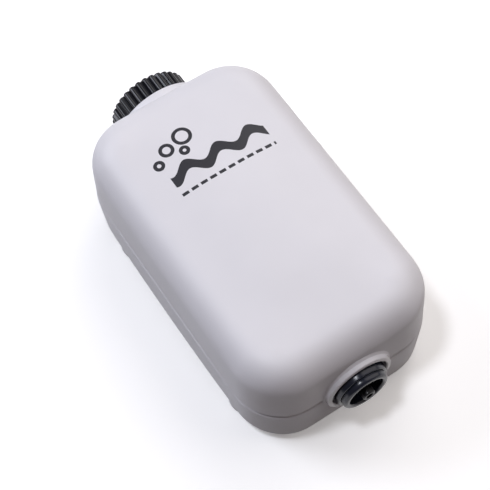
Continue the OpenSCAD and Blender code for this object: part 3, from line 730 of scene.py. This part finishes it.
def bandedSurface(name, code, shade, roughness, axis, pitch, relief, **settings):
    # parallel lines, a pitch in mm apart along one axis, under a little drift of tone; the
    # texture runs through 20 radians in each unit at a scale of 1
    material, tree, shader, place = startMaterial(name, code, roughness, **settings)
    lines = addNode(tree, "TexWave", {"wave_type": "BANDS", "bands_direction": axis,
                                      "Scale": 2 * math.pi / (20 * pitch * mm), "Distortion": 0.35},
                    {"Vector": place})
    drift = noiseAt(tree, place, 6.0, 3.0)
    between = spread(tree, lines.outputs["Fac"], 0, 1, 0.1, 0.8)
    colour = mixColours(tree, between, linear(shade), linear(code))
    mottled = mixColours(tree, spread(tree, drift.outputs["Fac"], 0, 0.25), colour, linear(shade))
    tree.links.new(mottled, shader.inputs["Base Color"])
    rough = spread(tree, drift.outputs["Fac"], roughness * 0.85, min(1, roughness * 1.2))
    tree.links.new(rough, shader.inputs["Roughness"])
    addBump(tree, shader, lines.outputs["Fac"], relief)
    return material


# compression-moulded nitrile rubber: dark and dull, so that the folds read by their shading only
nitrile = plainSurface("nitrileRubber", "191a1c", "212225", 0.55, 0.5, 0.006)
# extruded silicone: milky, letting a little light through, with a soft shine along its length
silicone = plainSurface("siliconeHose", "a9a9a2", "b6b6ae", 0.5, 0.8, 0.004,
                        Transmission_Weight=0.25, IOR=1.41)

# the diaphragm's rim is held by the chamber and its hub moves with the lever in the real pump; here it is
# built as one still piece, attached to no body
rimLow, rimHigh = corners("diaphragm")
rimFoot = Vector((rimHigh.x, (rimLow.y + rimHigh.y) / 2, (rimLow.z + rimHigh.z) / 2))
diaphragm = lathe("diaphragm", [
    (1.5, 4.6), (4.5, 4.6, 0.5), (6.0, 3.4, 1.2), (7.4, 1.5, 1.0), (8.5, 1.2), (11, 1.2, 0.2),
    (11, 0, 0.2), (8.2, 0, 0.2), (6.9, 0.6, 1.0), (5.5, 2.6, 1.0), (4.3, 3.6, 0.4), (1.5, 3.6)],
    rimFoot, -sideways, 96, 5)
softShade(diaphragm)
diaphragm.data.materials.clear()
diaphragm.data.materials.append(nitrile)
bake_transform(diaphragm)
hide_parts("diaphragm")


def addHose():
    # out of the chamber, round two bends and onto the nozzle's stub
    low, high = corners("outlet_hose")
    level = (low.z + high.z) / 2
    startX, portX = low.x + hose["radius"], high.x - hose["radius"]
    bend = hose["bend"]
    bendY = high.y - hose["stub"] - 2 * bend
    points = [(startX, low.y), (startX, (low.y + bendY) / 2)]
    for k in range(hose["arcSteps"] + 1):
        turn = math.pi - k / hose["arcSteps"] * math.pi / 2
        points.append((startX + bend + bend * math.cos(turn), bendY + bend * math.sin(turn)))
    for k in range(hose["arcSteps"] + 1):
        turn = -math.pi / 2 + k / hose["arcSteps"] * math.pi / 2
        points.append((portX - bend + bend * math.cos(turn), bendY + 2 * bend + bend * math.sin(turn)))
    points.append((portX, high.y))
    curve = bpy.data.curves.new("outletHose", "CURVE")
    curve.dimensions = "3D"
    curve.bevel_depth = hose["radius"]
    curve.bevel_resolution = 8
    line = curve.splines.new("POLY")
    line.points.add(len(points) - 1)
    for point, (x, y) in zip(line.points, points):
        point.co = (x, y, level, 1)
    obj = bpy.data.objects.new("outletHose", curve)
    bpy.context.collection.objects.link(obj)
    activate(obj)
    bpy.ops.object.convert(target="MESH")
    obj = bpy.context.object
    editMode(obj)
    selectWhole()
    bpy.ops.mesh.remove_doubles(threshold=0.001 * mm)
    bpy.ops.mesh.normals_make_consistent(inside=False)
    objectMode()
    useModifier(obj, "SOLIDIFY", thickness=hose["wall"], offset=-1, use_even_offset=True)
    return obj


finishPiece(addHose(), "housing", silicone, ["outlet_hose"])
print("diaphragm and hose built")

# finishes of the pieces carried over from the frame

finishes = {
    "housing_plastic": shellPlastic,
    "boot_rubber": bootRubber,
    "black_plastic": blackAbs,
    "foot_rubber": footRubber,
    "zinc_steel": zincSteel,
    "hose_silicone": silicone,
    "diaphragm_rubber": nitrile,
    "knob_plastic": flowKnob.data.materials[0],
    # moulded and undyed: warm ivory with a waxy, half-dull face
    "natural_plastic": plainSurface("naturalNylon", "ddd6c2", "d2cab4", 0.48, 0.6, 0.006),
    # moulded with glass fibres: charcoal, its face lightly roughened by the fibres
    "chamber_plastic": plainSurface("glassFilledNylon", "3c3e43", "45474d", 0.52, 0.3, 0.012),
    # punched from rubber sheet: brick red and dull
    "gasket_rubber": plainSurface("gasketRubber", "7c3026", "8a3a2e", 0.6, 0.5, 0.01),
    # stacked and varnished steel sheets, 0.5 mm thick: grey metal with dark joints between them
    "core_steel": bandedSurface("varnishedLaminations", "74777c", "44474c", 0.4, "Z", 0.5, 0.06,
                                Metallic=0.8),
    # pressed and fired: dark grey and stony, with a faint grain
    "magnet_ferrite": plainSurface("sinteredFerrite", "3a3a3d", "454548", 0.5, 0.3, 0.01),
    # wound and varnished wire: orange-brown with dark lines between the turns and a warm shine;
    # real wire is about 0.15 mm thick and is drawn at 0.35 mm, so that the turns show
    "enamelled_copper": bandedSurface("enamelledCopper", "b0592a", "5e2a12", 0.3, "Y", 0.35, 0.12,
                                      Metallic=0.7),
    # extruded sleeve: plain red with a soft shine
    "lead_pvc": plainSurface("sleevedWire", "a3221c", "b02a22", 0.4, 0.4, 0.004),
    # glass laminate under solder lacquer: deep green, glossy and a little uneven
    "board_laminate": plainSurface("lacqueredBoard", "1f6b3c", "257545", 0.3, 0.8, 0.01),
    # dipped in resin: mustard yellow and smooth
    "film_capacitor": plainSurface("filmCapacitor", "d5ae3c", "dcb94c", 0.35, 0.5, 0.004),
    # dipped in lacquer: beige with brown rings
    "resistor_lacquer": bandedSurface("resistorLacquer", "d6c09a", "8a5a34", 0.4, "Z", 1.6, 0.02),
    # moulded and dyed: mid green with an even sheen
    "terminal_green": plainSurface("terminalNylon", "2f7d4a", "378a54", 0.45, 0.5, 0.006),
    # pressed wool: off-white and fibrous, with no shine at all
    "filter_felt": plainSurface("woolFelt", "c9c8c0", "b9b8b0", 0.95, 0.5, 0.12),
}
slotOf = {row["node"]: row["material_slot"] for row in frame["record"]["subparts"]}
for node, obj in frame["nodes"].items():
    material = finishes[slotOf[node]]
    if not obj.material_slots:
        obj.data.materials.append(material)
    for place in obj.material_slots:
        place.material = material
print("finishes given")

# floor, light and camera

studio = {
    "floor": "fcfcfc",
    "floorGlow": 0.24,              # a lit table: the sheet under the object glows a little
    "ambient": ("ffe0dc", 0.086),   # colour and strength
    "ambientBelow": 0.3,            # share of the ambient light that comes from under the horizon
    "horizon": (-0.5, 0.2),         # the heights between which the ambient light fades
    "lights": [                     # name, azimuth, elevation, size in m, watts, colour
        ("rightLight", 87, 45, 1.4, 5.7, "fff9f5"),
        ("rearLeftLight", 218, 36, 0.5, 4.3, "eef3ff"),
        ("overheadLight", 262, 75, 0.14, 3.1, "f4f7ff"),
        ("rearRightLight", 135, 45, 0.7, 1.9, "ffffff"),
    ],
}
view = {
    "azimuth": -30.339,
    "elevation": 62.185,
    "roll": -3.524,
    "distance": 411.533 * mm,
    "lens": 102.86,
    "sensor": 36,
    "shift": -0.0209,
    "nearest": 0.01,
}


def directionOf(azimuth, elevation):
    # the way to a place so many degrees round from the outlet and above the floor
    azimuth, elevation = math.radians(azimuth), math.radians(elevation)
    return Vector((math.sin(azimuth) * math.cos(elevation), -math.cos(azimuth) * math.cos(elevation),
                   math.sin(elevation)))


clearSelection()
bpy.ops.mesh.primitive_plane_add(size=6, location=(0, 0, cadBox[0][2]))
floor = settle(bpy.context.object)
floor.name = "floor"
# a sheet of matt white paper, lit from beneath: no shine, and a soft shadow
floorMaterial, _, floorShader, _ = startMaterial("paleFloor", studio["floor"], 0.9)
floorShader.inputs["Emission Color"].default_value = (1, 1, 1, 1)
floorShader.inputs["Emission Strength"].default_value = studio["floorGlow"]
floor.data.materials.append(floorMaterial)
floor.visible_diffuse = False       # the glow is only seen; it throws no light up the walls

world = bpy.data.worlds.new("studio")
bpy.context.scene.world = world
world.use_nodes = True
air = world.node_tree
ambient = air.nodes["Background"]
ambientColour, ambientStrength = studio["ambient"]
ambient.inputs["Color"].default_value = linear(ambientColour)
direction = addNode(air, "TexCoord").outputs["Generated"]
skyward = addNode(air, "SeparateXYZ", links={0: direction}).outputs["Z"]
lowest = ambientStrength * studio["ambientBelow"]
fading = spread(air, skyward, lowest, ambientStrength, *studio["horizon"])
air.links.new(fading, ambient.inputs["Strength"])


def addLight(name, place, size, power, colour):
    # a round lamp that faces the object
    data = bpy.data.lights.new(name, "AREA")
    data.color = linear(colour)[:3]
    data.shape = "DISK"
    data.size = size
    data.energy = power
    light = bpy.data.objects.new(name, data)
    bpy.context.collection.objects.link(light)
    light.location = place
    light.rotation_euler = (-place).to_track_quat("-Z", "Y").to_euler()


for name, azimuth, elevation, size, power, colour in studio["lights"]:
    addLight(name, directionOf(azimuth, elevation), size, power, colour)

back = directionOf(view["azimuth"], view["elevation"])
right = (-back).cross(upwards).normalized()
up = right.cross(-back)
roll = math.radians(view["roll"])
right, up = (math.cos(roll) * right + math.sin(roll) * up, -math.sin(roll) * right + math.cos(roll) * up)
cameraData = bpy.data.cameras.new("camera")
cameraData.lens = view["lens"]
cameraData.sensor_width = view["sensor"]
cameraData.shift_x = view["shift"]
cameraData.clip_start = view["nearest"]
camera = bpy.data.objects.new("camera", cameraData)
bpy.context.collection.objects.link(camera)
standing = Matrix.Translation(Vector((midX, midY, seamZ)) + back * view["distance"])
camera.matrix_world = standing @ Matrix((right, up, back)).transposed().to_4x4()
bpy.context.scene.camera = camera
bpy.context.scene.view_settings.view_transform = "Standard"
print("stage ready")
